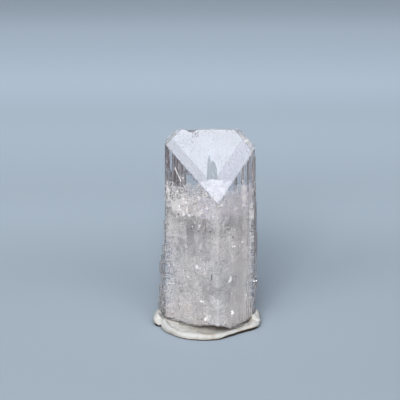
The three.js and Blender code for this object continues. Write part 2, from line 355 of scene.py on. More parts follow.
def grain_group():
    """Mineral and putty grain: two sizes of noise as a height, and a colour between two by the coarse one."""
    if "surface_grain" in bpy.data.node_groups:
        return bpy.data.node_groups["surface_grain"]
    group = bpy.data.node_groups.new("surface_grain", "ShaderNodeTree")
    for label, kind in GRAIN_INPUTS:
        group.interface.new_socket(label, in_out="INPUT", socket_type=kind)
    for label, kind in (("Height", "NodeSocketFloat"), ("Colour", "NodeSocketColor")):
        group.interface.new_socket(label, in_out="OUTPUT", socket_type=kind)
    given = group.nodes.new("NodeGroupInput").outputs
    result = group.nodes.new("NodeGroupOutput").inputs
    coarse = {"Vector": given["Place"], "Scale": given["Coarse Scale"], "Detail": 3.0}
    coarse = add_node(group, "ShaderNodeTexNoise", coarse).outputs["Fac"]
    fine = {"Vector": given["Place"], "Scale": given["Fine Scale"], "Detail": 2.0}
    fine = add_node(group, "ShaderNodeTexNoise", fine).outputs["Fac"]
    mark = map_range(group, coarse, given["Mark Low"], given["Mark High"])
    feed(group, result["Height"], math_node(group, "MULTIPLY_ADD", fine, 0.35, coarse))
    feed(group, result["Colour"], mix_colour(group, mark, given["First Colour"], given["Second Colour"]))
    return group


def add_grain(material, first, second, coarse, fine, marks=(0.35, 0.65)):
    """The grain group in a material, on Object coordinates. Returns its outputs, Height and Colour."""
    tree = material.node_tree
    inputs = {
        "Place": object_place(tree),
        "Coarse Scale": coarse,
        "Fine Scale": fine,
        "First Colour": (*first, 1),
        "Second Colour": (*second, 1),
        "Mark Low": marks[0],
        "Mark High": marks[1],
    }
    return add_node(tree, "ShaderNodeGroup", inputs, node_tree=grain_group()).outputs


# ---------------------------------------------------------------- settings


def real(label, note, value, least=0.0):
    return FloatProperty(name=label, description=note, default=value, min=least)


def count(label, note, value):
    return IntProperty(name=label, description=note, default=value, min=0)


def colour(label, note, *value):
    return FloatVectorProperty(name=label, description=note, subtype="COLOR", default=value)


def power(label, value):
    return FloatProperty(name=label, description="Power in watts", unit="POWER", default=value)


class CrystalSettings(bpy.types.PropertyGroup):
    stria_pitch: real("Stria Pitch", "Usual width of a stria, in millimetres", 0.42, 0.2)
    stria_relief: real("Stria Relief", "Most that a stria stands out, in millimetres", 0.07)
    small_laths: count("Small Laths", "Small growth steps on each face", 150)
    cracks: IntProperty(
        name="Cracks", description="Share of the thin open cracks", subtype="PERCENTAGE", default=100, min=5
    )
    ior: real("IOR", "Refractive index of danburite", 1.633, 1.0)


class MilkSettings(bpy.types.PropertyGroup):
    flakes: count("Flakes", "White flakes in each of the four clouds", 46000)
    flake_size: real("Flake Size", "Usual length of a flake, in millimetres", 0.155, 0.05)
    veils: count("Veils", "Healed cracks inside the crystal", 70)
    glints: count("Glints", "Small mirror-like facets in the cracks", 2400)
    flecks: count("Flecks", "White flecks under the faces", 5200)
    white: colour("White", "Colour of the flakes", 0.985, 0.985, 0.99)
    rose: colour("Rose", "Colour of the warmer flakes", 0.985, 0.960, 0.955)
    grey: colour("Grey", "Colour of the greyer flakes", 0.90, 0.90, 0.905)
    dim: colour("Dim", "Colour of the dullest flakes", 0.70, 0.69, 0.70)


class PuttySettings(bpy.types.PropertyGroup):
    colour: colour("Colour", "Colour of the putty", 0.31, 0.315, 0.312)
    # The colour of the handling marks is also the colour of the painted shade in the trough, on the lip and
    # at the seam.
    dirt_and_shade: colour("Dirt and Shade", "Colour of the handling marks", 0.235, 0.215, 0.185)
    # Deep is the colour of the painted shadow under the crystal and under the pad's lip.
    deep: colour("Deep", "Colour under the crystal", 0.03, 0.024, 0.02)
    rim: real("Rim", "Height of the pad's rim, in millimetres", 1.5, 0.2)


class StageSettings(bpy.types.PropertyGroup):
    elevation: FloatProperty(
        name="Elevation",
        description="Camera height over the level",
        subtype="ANGLE",
        default=math.radians(19.5),
    )
    distance: FloatProperty(
        name="Distance", description="Camera distance", subtype="DISTANCE", unit="LENGTH", default=0.45
    )
    floor_pale: colour("Floor", "Colour of the floor in the view", 0.264, 0.316, 0.371)
    # Floor Beyond is painted shade: the floor's colour outside the painted pool of light.
    floor_dark: colour("Floor Beyond", "Floor beyond the lit pool", 0.055, 0.042, 0.044)
    top_power: power("Top Light", 0.57)
    front_power: power("Front Light", 4.1)
    right_power: power("Right Light", 2.0)
    left_power: power("Left Light", 1.15)


SETTINGS = (
    ("danburite_crystal", CrystalSettings),
    ("danburite_milk", MilkSettings),
    ("danburite_putty", PuttySettings),
    ("danburite_stage", StageSettings),
)


# ---------------------------------------------------------------- the crystal's outside

# Strength of the striae on each face: everywhere, and how much more from one distance across to another.
STRIA_STRENGTH = ((1.0, 2.6, 5.5, 8.0), (1.9, 0, 0, 1), (1.5, 0, 0, 1), (1.6, 0, 0, 1), (1.0, 0.8, 4.0, 1.0))


def stria_outline(pitch, relief, rng):
    """The prism's outline as samples: face number, distance across, relief. Each face is split into striae of
    uneven widths. A stria is a flat facet at a random height with a slight random tilt, sampled at both ends
    and inside."""
    shares = np.array([0.0, 0.33, 0.67, 1.0])
    face, across, height = [], [], []
    for number, (width, (base, more, low, high)) in enumerate(zip(WIDTHS, STRIA_STRENGTH)):
        cuts = np.cumsum(pitch * (0.3 + 1.4 * rng.random(int(4 * width / pitch))))
        cuts = np.concatenate([[0.0], cuts[cuts < width - 0.1], [width]])
        start, end = cuts[:-1], cuts[1:]
        strength = relief * (base + more * smooth_step(low, high, (start + end) / 2))
        level = strength * rng.random(len(start)) ** 2
        tilt = strength * (rng.random(len(start)) - 0.5)
        edge = 0.012 / (end - start)[:, None]
        share = np.clip(shares[None], edge, 1 - edge)
        face.append(np.full(share.size, number))
        across.append((start[:, None] + (end - start)[:, None] * share).ravel())
        height.append((level[:, None] + tilt[:, None] * (share - 0.5)).ravel())
    return np.concatenate(face), np.concatenate(across), np.concatenate(height)


def add_laths(relief, face, across, heights, small_laths, rng):
    """Raises or lowers rectangles of the relief on each face: few large growth laths, and many small thin
    ones that are mostly in the lower part."""
    for number, width in enumerate(WIDTHS):
        share = width / 12.0
        kinds = (
            (int(22 * share), (0.7, 3.4), (1.6, 9.5), (0.08, 0.22), (2.5, 28.0)),
            (int(small_laths * share), (0.25, 1.9), (0.3, 3.6), (-0.06, 0.09), (1.0, 30.5)),
        )
        for amount, wide, tall, thick, zone in kinds:
            w = between(*wide, rng.random(amount) ** 2)
            h = between(*tall, rng.random(amount) ** 2)
            left = (width - w) * rng.random(amount)
            low = between(*zone, rng.random(amount) ** 1.2) - h / 2
            t = between(*thick, rng.random(amount))
            for i in range(amount):
                column = (face == number) & (across > left[i]) & (across < left[i] + w[i])
                row = (heights > low[i]) & (heights < low[i] + h[i])
                relief[np.ix_(row, column)] += t[i]


def ledge_reach(ledges, edge, front, face, across, heights):
    """How far the growth steps stand out at an upright edge, by height and by the distance from the edge
    along the front face and the back face that meet there. Where steps overlap, the widest one counts."""
    gap = np.where(face == edge, across, np.where(face == edge - 1, WIDTHS[edge - 1] - across, np.inf))
    reach = np.zeros((len(heights), len(face)))
    for low, high, out, along_front, along_back in ledges:
        row = (heights > low) & (heights < high)
        column = gap < np.where(face == front, along_front, along_back)
        reach = np.maximum(reach, out * (row[:, None] & column[None]))
    return reach


BLOCK_FACES = np.array([[0, 1, 2, 3], [7, 6, 5, 4], [0, 4, 5, 1], [1, 5, 6, 2], [2, 6, 7, 3], [3, 7, 4, 0]])
CUTTER_TOP = 60.0


def dome_wedge(name, front):
    """A block whose underside is one of the dome planes, z = ridge - |y - ridge y| tan(slope)."""
    far = 16.0
    fall = far * math.tan(DOME_SLOPE)
    side = -1.0 if front else 1.0
    low = (RIDGE_Y + side * far, RIDGE_HEIGHT - fall)
    high = (RIDGE_Y - side * 0.4 * far, RIDGE_HEIGHT + 0.4 * fall)
    section = [low, high] if front else [high, low]
    section += [(y, CUTTER_TOP) for y, _ in reversed(section)]
    points = np.array([(x, y, z) for x in (20.0, -20.0) for y, z in section])
    return put_mesh(name, points, [BLOCK_FACES], body=None)


def side_slab_wedge():
    """What lies outside the right side face and above the slab's own top, which is steeper than the dome."""
    start = PRISM_EDGES[RIGHT_SIDE]
    past = WIDTHS[RIGHT_SIDE] + 2
    across, reach = np.array(((-1.5, 0.06), (past, 0.06), (past, 2.5), (-1.5, 2.5))).T
    plan = in_plan(RIGHT_SIDE, across, -reach)
    under = APEX_HEIGHT + (start[1] - FRONT_Y) * math.tan(DOME_SLOPE) - 0.42
    low = under + (plan[:, 1] - start[1]) * math.tan(math.radians(46))
    points = np.concatenate([np.c_[plan, low], np.c_[plan, np.full(4, CUTTER_TOP)]])
    return put_mesh("cut_slab", points, [BLOCK_FACES], body=None)


# Bites out of the ridge: place, radii, turn about X in degrees, seed of their roughness.
CHIPS = (
    ((-3.3, 2.6, 42.9), (1.7, 2.6, 1.55), 12, 11),
    ((-2.6, 1.2, 41.55), (1.35, 1.6, 0.92), 42, 12),
    ((0.6, 8.7, 37.3), (1.5, 0.9, 1.0), -30, 13),
)


def chip_lump(name, at, size, turn, seed):
    """A bite: a ball of 20 x 32 points, stretched, turned about X and roughened by shell-like ripples."""
    points, quads, tips = ball(20, 32)
    ripple = 0.025 * np.sin(9.0 * np.hypot(points[:, 0] - 0.6, points[:, 1] + 0.5))
    points = points * (1 + 0.09 * noise(points * 3, 1.4, seed) + ripple)[:, None] * np.array(size)
    c, s = math.cos(turn), math.sin(turn)
    points = points @ np.array([[1, 0, 0], [0, c, s], [0, -s, c]]) + np.array(at)
    return put_mesh(name, points, [quads, tips], body=None)


def crystal_shell(settings):
    """The striated prism with its broken foot, before its dome is cut. A grid of heights x outline samples,
    where the outline moves out by the relief and the growth steps, is cut in at the back edge, and widens to
    the foot."""
    rng = np.random.default_rng(7)
    face, across, level = stria_outline(settings.stria_pitch, settings.stria_relief, rng)
    heights = np.concatenate([np.arange(TRUNK_LOW, 31.0, 0.21), np.arange(31.0, TRUNK_HIGH + 0.5, 0.65)])
    relief = np.repeat(level[None], len(heights), 0)
    add_laths(relief, face, across, heights, settings.small_laths, rng)
    clear = heights > CLEAR_ABOVE
    relief[np.ix_(clear, (face == RIGHT_FRONT) & (across > 6.0))] *= 1.7
    relief[np.ix_(clear, face == LEFT_FRONT)] *= 0.4
    slab = (face == RIGHT_SIDE) & (across > 0.5)
    relief[np.ix_(heights > SLAB_ABOVE, slab)] = 0.5 + 0.3 * level[slab]
    start, end, above, out = SHOULDER
    shoulder = (face == LEFT_BACK) & (across > start) & (across < end)
    relief[np.ix_(heights > above, shoulder)] = out
    wobble = np.stack([across + 20.0 * face, np.zeros_like(across), np.zeros_like(across)], 1)
    up = np.stack([np.zeros_like(heights), np.zeros_like(heights), heights], 1)
    relief = relief + 0.012 * noise(wobble[None] + up[:, None] * 0.35, 0.9, 3)
    base = in_plan(face, across, 0.0)[None] + OUT[face][None] * relief[..., None]

    base[..., 0] -= ledge_reach(LEFT_LEDGES, LEFT_FRONT, LEFT_FRONT, face, across, heights)
    base[..., 0] += ledge_reach(RIGHT_LEDGES, RIGHT_SIDE, RIGHT_FRONT, face, across, heights)

    beyond = (base - BACK_CUT[0]) @ BACK_OUT
    place = (base - BACK_CUT[0]) @ BACK_ALONG
    top = np.zeros_like(place)
    for start, end, high in BACK_CUT_STEPS:
        top = np.where((place >= start) & (place < end), high, top)
    cut = (beyond > 0) & (heights[:, None] < top)
    base = base - BACK_OUT * np.where(cut, beyond, 0.0)[..., None]

    z = np.repeat(heights[:, None], len(across), 1)
    foot = foot_height(base[0])
    low = foot[None] + (z - TRUNK_LOW) * (FOOT_BLEND - foot[None]) / (FOOT_BLEND - TRUNK_LOW)
    points = at_height(base, np.where(z < FOOT_BLEND, low, z))

    rows, around = z.shape
    rings = np.linspace(1, 0, 15)[1:-1]
    centre = np.array([0.4, -0.9])
    inner = centre + (points[0, :, :2] - centre)[None] * rings[:, None, None]
    inner = np.concatenate([inner, foot_height(inner)[..., None]], -1)
    middle = np.append(centre, foot_height(centre[None])[0])
    points = np.concatenate([points.reshape(-1, 3), inner.reshape(-1, 3), [middle]])
    first = rows * around
    foot_rings = np.concatenate([np.arange(around), np.arange(first, first + len(rings) * around)])
    under = foot_rings[ring_faces(len(rings) + 1, around, flip=True)]
    tip = fan_faces(foot_rings[-around:], len(points) - 1, flip=True)
    lid = np.arange((rows - 1) * around, rows * around)[None]
    return points, [ring_faces(rows, around), under, tip, lid]


# Levels at which the crystal has cracked: height, spread, number, least and greatest radius, tilt.
CRACK_LEVELS = (
    (29.6, 0.8, 26, 0.5, 2.1, 0.30),
    (26.6, 1.8, 52, 0.4, 1.8, 0.50),
    (22.0, 1.3, 7, 0.4, 1.6, 0.45),
    (16.6, 0.9, 6, 0.5, 2.4, 0.25),
    (12.4, 0.6, 4, 0.5, 2.0, 0.25),
    (6.0, 2.5, 3, 0.3, 1.0, 0.40),
)
FACE_SHARES = (0.36, 0.08, 0.07, 0.07, 0.42)


def crack(centre, turn, radii, wave, rng):
    """A thin open crack: two sheets of 6 rings x 16 spokes that meet at an uneven rim. Both follow the same
    steps and waves, h = wave * (sines of the place, half of it rounded to thirds), and part by
    0.035 (1 - r squared). Their faces point into the opening."""
    rings, spokes = 6, 16
    angle = np.linspace(0, 2 * math.pi, spokes, endpoint=False)
    lobes, shift = rng.integers(2, 6, 2), 2 * math.pi * rng.random(4)
    rim = 1 + 0.22 * np.sin(lobes[0] * angle + shift[0]) + 0.14 * np.sin(lobes[1] * angle + shift[1])
    rim = rim * (0.9 + 0.2 * rng.random(spokes))
    r = (np.arange(1, rings + 1) / rings)[:, None]
    u = r * np.cos(angle) * rim * radii[0]
    v = r * np.sin(angle) * rim * radii[1]
    u, v, r = (np.append(a.ravel(), 0.0) for a in (u, v, np.repeat(r, spokes, 1)))
    swell = np.sin(2.3 * u + shift[2]) + np.sin(2.9 * v + 1.3 * u + shift[3])
    h = wave * 0.5 * (0.5 * swell + 0.5 * np.round(1.5 * swell) / 1.5)
    gap = 0.0175 * (1 - r * r)
    upper = np.stack([u, v, h + gap], 1)
    lower = np.stack([u, v, h - gap], 1)
    middle = rings * spokes
    inner = np.concatenate([np.arange((rings - 1) * spokes), [middle]])
    points = np.concatenate([upper, lower[inner]]) @ turn.T + centre
    below = np.arange(middle + 1)
    below[inner] = middle + 1 + np.arange(len(inner))
    quads = ring_faces(rings, spokes)
    fan = fan_faces(np.arange(spokes), middle, flip=True)
    return points, [quads, below[quads][:, ::-1]], [fan, below[fan][:, ::-1]]


def turned_about(up, rng):
    """Frames of three directions: the third one is given, and the others are turned about it at random."""
    side = unit(np.cross(up, rng.normal(size=up.shape)))
    return np.stack([side, np.cross(up, side), up], -1)


def crack_turn(tilt, rng):
    """A frame of three directions whose third one leans from the upright by about the tilt, in radians."""
    return turned_about(unit(np.array([rng.normal(0, tilt), rng.normal(0, tilt), 1.0])), rng)


def under_face(height, rng, deep=2.4):
    """A random place at a height, a little way in from one of the upright faces."""
    face = rng.choice(5, p=FACE_SHARES)
    across = WIDTHS[face] * (0.03 + 0.94 * rng.random())
    inward = min(0.35, 0.25 * deep) + deep * rng.random() ** 2
    return at_height(in_plan(face, across, inward), height)


def crack_set(share, rng):
    """All the cracks that stay inside the crystal, as points and lists of faces."""
    points, quads, fans, first = [], [], [], 0
    for level, spread, amount, small, large, tilt in CRACK_LEVELS:
        for _ in range(int(amount * share)):
            centre = under_face(level + rng.normal(0, spread * 0.6), rng)
            wide = between(small, large, rng.random() ** 2)
            radii = (wide, wide * (0.35 + 0.6 * rng.random()))
            turn = crack_turn(tilt, rng)
            if rng.random() < 0.3:
                turn = turn[:, [2, 0, 1]]
            shape, rows, tips = crack(centre, turn, radii, 0.12 + 0.1 * rng.random(), rng)
            clear = min(depth_inside(shape).min(), (shape[:, 2] - foot_height(shape[:, :2])).min() - 0.25)
            if clear < 0.16:
                continue
            points.append(shape)
            quads += [array + first for array in rows]
            fans += [array + first for array in tips]
            first += len(shape)
    return np.concatenate(points), np.concatenate(quads), np.concatenate(fans)


def crystal_glass(settings):
    """Clear danburite: plain glass with a hardly visible etch, and rougher where the foot is broken."""
    glass = new_material(
        "danburite_glass", Base_Color=(0.985, 0.985, 0.99, 1), IOR=settings.ior, Transmission_Weight=1.0
    )
    tree = glass.node_tree
    grain = add_grain(glass, (0.987, 0.980, 0.993), (0.972, 0.970, 0.985), 260.0, 2200.0)
    join_to(glass, "Base Color", grain["Colour"])
    height = add_node(tree, "ShaderNodeSeparateXYZ", {0: object_place(tree)}).outputs["Z"]
    join_to(glass, "Roughness", map_range(tree, height, 0.0008, 0.0026, 0.2, 0.0))
    add_bump(glass, grain["Height"], 0.05, 0.00002)
    return glass


# ---------------------------------------------------------------- milk inside the crystal

# The four clouds: the share of each that thins out with the depth under the faces, and over what depth.
MILK_CLOUDS = ((0.98, 0.5), (0.97, 0.8), (0.9, 1.6), (0.3, 1.6))
MILK_TRIES = 200000
MILK_BOX = np.array(((-9.6, -10.4, 1.2), (10.2, 8.2, 33.6)))


def face_cells(points):
    """Places measured along the two front faces and upwards, in which growth blocks are square."""
    place = points[:, :2] - PRISM_EDGES[RIGHT_FRONT]
    return np.stack([place @ ALONG[RIGHT_FRONT], place @ ALONG[LEFT_FRONT], points[:, 2] * 0.7], 1)


def milk_top(points):
    """Height up to which the crystal is milky. Inside it falls to the back. Close to the front faces it has
    blocky steps, and is higher on the left face, most of all beside the front edge."""
    x, y = points[:, 0], points[:, 1]
    plan = flat(points[:, :2])
    inner = 30.6 - 0.30 * (y - FRONT_Y) + 0.6 * noise(plan, 2.2, 21) + 0.4 * blocks(plan, 1.1, 22)
    from_edge = np.hypot(x - FRONT_X, y - FRONT_Y)
    rise = smooth_step(3.0, 0.0, x) * (1.4 - 1.9 * smooth_step(6.0, 13.0, from_edge))
    skin = 31.5 + rise + 0.8 * blocks(face_cells(points) * [1, 1, 0], 0.9, 25)
    return inner + (skin - inner) * front_skin(points)


def milk_share(points):
    """How milky the crystal is at each point, from 0 to 1. It is clearer in a window at the left edge and in
    strips along the right edge and the front edge, and has blocky clouds."""
    x, y, z = points.T
    skin = front_skin(points)
    share = smooth_step(0.3 - 0.2 * skin, 1.6 - 0.8 * skin, milk_top(points) - z)
    window = bell((x + 8.4) / 2.2, (y - 0.4) / 2.6) * smooth_step(2.5, 4.5, z)
    share = share * (1 - 0.62 * window * (1 - smooth_step(16.0, 20.0, z)))
    share = share * (1 - 0.05 * bell((x - 9.6) / 1.3, (y + 0.7) / 2.2))
    edge = np.hypot(x - FRONT_X, y - FRONT_Y)
    share = share * (1 - 0.35 * np.exp(-edge / 1.2))
    cells = face_cells(points)
    cloud = 0.70 + 0.3 * noise(points, 3.0, 23) + 0.36 * blocks(cells, 1.5, 24) + 0.2 * blocks(cells, 0.7, 26)
    cloud += 0.4 * smooth_step(5.5, 3.0, z)
    return np.clip(share * cloud, 0, 1)


def milky_points(amount, rng, near=0.6, reach=1.6):
    """Random points where the crystal is milky. A share `near` of them thins out with the depth under the
    faces, as exp(-depth / reach)."""
    found = []
    total = 0
    while total < amount:
        points = between(*MILK_BOX, rng.random((MILK_TRIES, 3)))
        depth = depth_inside(points)
        weight = (1 - near) + near * np.exp(-depth / reach) * 2.2
        keep = (depth > 0.16) & (points[:, 2] > foot_height(points[:, :2]) + 0.15)
        keep &= rng.random(len(points)) < milk_share(points) * weight / 1.6
        found.append(points[keep])
        total += keep.sum()
    return np.concatenate(found)[:amount]


def milk_tone(points):
    """How dull (above 0) or bright (below 0) the milk is: blocky, bright above a step in the middle of the
    front, dull and even under it, bright again at the foot, and brighter at the right as painted light for
    the weaker light on the right face."""
    x, z = points[:, 0], points[:, 2]
    step = 25.9 + 0.25 * noise(points * [1, 1, 0], 1.5, 44)
    middle = bell((x - 0.5) / 5.5)
    bright = smooth_step(0.0, 0.3, z - step) * smooth_step(34.0, 30.0, z)
    dull = middle * smooth_step(0.3, 0.0, z - step) * smooth_step(20.5, 24.5, z)
    body = middle * smooth_step(25.5, 24.0, z) * smooth_step(7.0, 10.0, z)
    # Whiter flakes at the right are painted light: they make up for the weaker light that reaches the right
    # face.
    right = smooth_step(3.5, 7.5, x)
    level = 0.50 * dull + 0.65 * body - 1.1 * bright - 0.7 * right - 0.45 * smooth_step(6.0, 3.0, z)
    cells = face_cells(points)
    return 0.9 * blocks(cells, 2.3, 41) + 0.7 * blocks(cells, 0.9, 42) + 0.7 * noise(points, 3.4, 43) + level


# ---------------------------------------------------------------- slivers

SLIVER = np.array([[-0.5, -0.35, 0.0], [0.5, -0.3, 0.02], [0.45, 0.4, -0.02], [-0.4, 0.3, 0.05]])
SLIVER_FACES = np.array([[0, 2, 1], [0, 1, 3], [1, 2, 3], [0, 3, 2]])


def put_slivers(name, points, size, turns, materials, kind=0, narrow=1.0):
    """A mesh of flat four-cornered slivers inside the crystal, one at each point in its own frame, with the
    material of its kind. `narrow` scales its second direction."""
    shape = SLIVER[None] * np.ones((len(points), 1, 1)) * size[:, None, None]
    shape[..., 1] *= np.reshape(narrow, (-1, 1))
    placed = points[:, None] + np.einsum("nij,nkj->nki", turns, shape)
    faces = np.arange(len(points))[:, None, None] * 4 + SLIVER_FACES[None]
    kind = np.broadcast_to(kind, len(points))
    slots = range(len(materials))
    rows = [faces[kind == slot].reshape(-1, 3) for slot in slots]
    put_mesh(name, placed.reshape(-1, 3), rows, materials, slots)


def random_turns(amount, rng):
    """Random rotation matrices, from random unit quaternions."""
    w, x, y, z = unit(rng.normal(size=(amount, 4))).T
    rows = (
        (1 - 2 * (y * y + z * z), 2 * (x * y - z * w), 2 * (x * z + y * w)),
        (2 * (x * y + z * w), 1 - 2 * (x * x + z * z), 2 * (y * z - x * w)),
        (2 * (x * z - y * w), 2 * (y * z + x * w), 1 - 2 * (x * x + y * y)),
    )
    return np.stack([np.stack(row, 1) for row in rows], 1)


def leaning_turns(amount, lean, spread, rng):
    """Turns whose third direction leans from the upright by the angle `lean`, towards any side."""
    tilt = lean + spread * rng.normal(size=amount)
    aside = 2 * math.pi * rng.random(amount)
    up = np.stack([np.sin(tilt) * np.cos(aside), np.sin(tilt) * np.sin(aside), np.cos(tilt)], 1)
    return turned_about(up, rng)


# Levels of the healed cracks and of the glints, each with its share of them.
VEIL_LEVELS = ((28.5, 25.5, 22.5, 17.0, 12.5, 7.5), (0.2, 0.24, 0.16, 0.15, 0.12, 0.13))
VEIL_DENSITY = 160
GLINT_LEVELS = ((29.8, 26.5, 24.5, 16.5, 12.4), (0.2, 0.3, 0.28, 0.12, 0.1))


def veil_points(amount, rng):
    """Healed cracks: patches of small flakes that lie along gently waved sheets, densest in the middle.
    Returns the places, and for each flake the turn of its sheet."""
    places, turns = [], []
    levels, shares = VEIL_LEVELS
    while len(places) < amount:
        centre = under_face(rng.choice(levels, p=shares) + rng.normal(0, 1.0), rng, deep=4.0)
        wide = 0.7 + 2.6 * rng.random() ** 2
        turn = crack_turn(0.25, rng)
        if rng.random() < 0.45:
            turn = turn[:, [2, 0, 1]]
        flakes = int(VEIL_DENSITY * wide * wide * 0.35) + 20
        r, a = rng.random(flakes) ** 0.7, 2 * math.pi * rng.random(flakes)
        u, v = r * np.cos(a) * wide, r * np.sin(a) * wide * (0.3 + 0.5 * rng.random())
        h = 0.14 * np.sin(2.1 * u + 5 * rng.random()) + 0.1 * np.sin(3.3 * v) + rng.normal(0, 0.02, flakes)
        place = np.stack([u, v, h], 1) @ turn.T + centre
        keep = well_inside(place, 0.15, 0.3)
        places.append(place[keep])
        turns.append(np.repeat(turn[None], keep.sum(), 0))
    return np.concatenate(places), np.concatenate(turns)


# Sparkling groups on the two front faces: face, distance from the front edge, height, spread.
SPARKLE_PLACES = (
    (LEFT_FRONT, 12.0, 26.2, 1.0), (LEFT_FRONT, 11.1, 27.5, 0.6), (LEFT_FRONT, 14.8, 29.7, 0.6),
    (LEFT_FRONT, 15.7, 26.0, 0.5), (LEFT_FRONT, 9.9, 25.6, 0.5), (LEFT_FRONT, 13.1, 22.4, 0.7),
    (LEFT_FRONT, 9.1, 12.1, 0.8), (LEFT_FRONT, 0.5, 8.3, 0.5), (LEFT_FRONT, 3.3, 4.1, 0.8),
    (LEFT_FRONT, 4.6, 7.3, 0.3), (RIGHT_FRONT, 4.0, 12.2, 0.6), (RIGHT_FRONT, 10.5, 12.1, 0.4),
    (RIGHT_FRONT, 10.9, 24.3, 1.1), (RIGHT_FRONT, 8.2, 30.8, 0.8), (RIGHT_FRONT, 11.2, 25.8, 0.7),
    (RIGHT_FRONT, 9.9, 23.3, 0.5), (RIGHT_FRONT, 8.9, 28.9, 0.4), (LEFT_FRONT, 7.9, 25.7, 0.6),
    (LEFT_FRONT, 5.1, 23.7, 0.4), (LEFT_FRONT, 11.4, 20.0, 0.5), (RIGHT_FRONT, 10.2, 16.8, 0.6),
    (LEFT_FRONT, 5.9, 14.9, 0.5), (RIGHT_FRONT, 4.8, 19.9, 0.4), (LEFT_FRONT, 14.2, 29.6, 0.4),
)
# Dark specks: face, distance from the front edge, height, radii.
SPECK_PLACES = (
    (LEFT_FRONT, 11.24, 24.93, (0.17, 0.15, 0.24)),
    (LEFT_FRONT, 2.47, 23.43, (0.15, 0.12, 0.15)),
    (LEFT_FRONT, 1.07, 23.35, (0.13, 0.12, 0.12)),
    (RIGHT_FRONT, 4.97, 21.3, (0.15, 0.12, 0.17)),
    (LEFT_FRONT, 8.67, 18.96, (0.17, 0.12, 0.14)),
    (LEFT_FRONT, 4.14, 21.46, (0.10, 0.08, 0.12)),
    (LEFT_FRONT, 1.89, 13.47, (0.19, 0.14, 0.62)),
    (RIGHT_FRONT, 6.02, 12.34, (0.15, 0.12, 0.17)),
    (LEFT_FRONT, 10.67, 7.9, (0.20, 0.14, 0.13)),
    (RIGHT_FRONT, 10.14, 3.36, (0.15, 0.12, 0.15)),
)
# The ends of the pale slanting streak high on the left front face: distance from the front edge, height.
STREAK = np.array(((12.24, 34.96), (10.5, 32.3)))
# Strips of even lilac flecks, along the clear outer edges and over the cracked zone: face, from, to across
# it, low, high, number of flecks.
LILAC_STRIPS = (
    (RIGHT_FRONT, 10.7, 12.05, 5.0, 27.5, 260),
    (LEFT_FRONT, 0.2, 3.2, 2.8, 18.0, 300),
    (RIGHT_SIDE, 0.2, 3.0, 5.0, 27.5, 100),
    (RIGHT_FRONT, 0.8, 12.0, 25.2, 32.3, 1200),
    (LEFT_FRONT, 9.5, 14.8, 25.8, 30.5, 450),
)


def glint_points(amount, rng):
    """Places of the small mirror-like facets: half in the cracked zone and its levels, a third in groups
    under the front faces, and the rest all over the milky part."""
    levels, shares = GLINT_LEVELS
    levels = rng.choice(levels, size=amount // 2, p=shares)
    cracked = [under_face(z + rng.normal(0, 0.9), rng, deep=0.9) for z in levels]
    groups = []
    for face, across, height, spread in SPARKLE_PLACES:
        for _ in range(int(amount / 34 * spread)):
            aside, up = rng.normal(0, spread * 0.5, 2)
            xy = in_plan(face, from_front(face, across + aside), 0.2 + 0.25 * rng.random())
            groups.append(at_height(xy, height + up))
    points = np.concatenate([cracked, groups, milky_points(amount // 6, rng)])
    return points[well_inside(points, 0.15, 0.3)]


# The sheet under the dome: where its opening ends, as distances across and back, and its tints' colours.
WINDOW_LEFT, WINDOW_RIGHT, WINDOW_FRONT = -0.19, 2.02, -5.86
WINDOW_TOP = (
    (-0.19, -5.86), (-0.06, -3.64), (0.16, -2.16), (0.46, -1.38),
    (0.7, -3.03), (1.1, -2.49), (1.62, -3.03), (2.02, -3.98),
)
DOME_TRIES = 110000
DOME_HAZES = (
    ("dome_haze", (0.61, 0.645, 0.715)),
    ("right_band_haze", (0.52, 0.545, 0.65)),
    ("left_band_haze", (0.44, 0.47, 0.545)),
    ("tip_haze", (0.78, 0.79, 0.85)),
)


def dome_veil(tried, rng):
    """A faint sheet under the front dome face, duller in a band along each of the face's lower edges, and
    whiter at its tip. It is open where the narrow back face shows through, and where the ridge is chipped.
    Returns the places that are kept, their turns, and their tint: 0 middle, 1 right band, 2 left band,
    3 tip."""
    x = -9.0 + 18.0 * rng.random(tried)
    y = FRONT_Y + 13.0 * rng.random(tried)
    z = RIDGE_HEIGHT - (RIDGE_Y - y) * math.tan(DOME_SLOPE) - 0.3 - 0.25 * rng.random(tried)
    points = np.stack([x, y, z], 1)
    left, right = ((PRISM_EDGES[face] - points[:, :2]) @ OUT[face] for face in (LEFT_FRONT, RIGHT_FRONT))
    left_band = left < 1.85
    right_band = ~left_band & (right < 3.2 + 0.12 * noise(points, 0.8, 65))
    window = (x > WINDOW_LEFT) & (x < WINDOW_RIGHT) & (y > WINDOW_FRONT)
    window &= y < np.interp(x, *zip(*WINDOW_TOP))
    tip = (y < -6.3 + 0.8 * noise(points, 0.9, 66)) & (left > 0.2) & (right > 0.2)
    tip &= rng.random(tried) < 0.55 + 0.35 * blocks(points * [1, 0.7, 0], 0.5, 69)
    wedge = bell((x + 1.6) / 1.3, (y + 4.4) / 1.7)
    bar = bell((y + 1.3) / 0.3) * (noise(points, 1.1, 68) > -0.2)
    middle = 0.72 + 0.22 * noise(points, 2.5, 67) + 0.9 * wedge + 0.5 * bar
    cover = np.where(left_band, 0.62, np.where(right_band, 0.46, middle))
    at, radii, _, _ = CHIPS[0]
    chipped = (((points - at) / radii) ** 2).sum(1) < 1.3
    sheet = (rng.random(tried) < cover) & ~chipped & ~window
    keep = (sheet | tip) & (depth_inside(points) > 0.15)
    points, tint = points[keep], np.where(tip, 3, right_band + 2 * left_band)[keep]
    c, s = math.cos(DOME_SLOPE), math.sin(DOME_SLOPE)
    lean = np.array([[1.0, 0.0, 0.0], [0.0, c, -s], [0.0, s, c]])
    return points, np.einsum("ij,njk->nik", lean, leaning_turns(len(points), 0.0, 0.15, rng)), tint


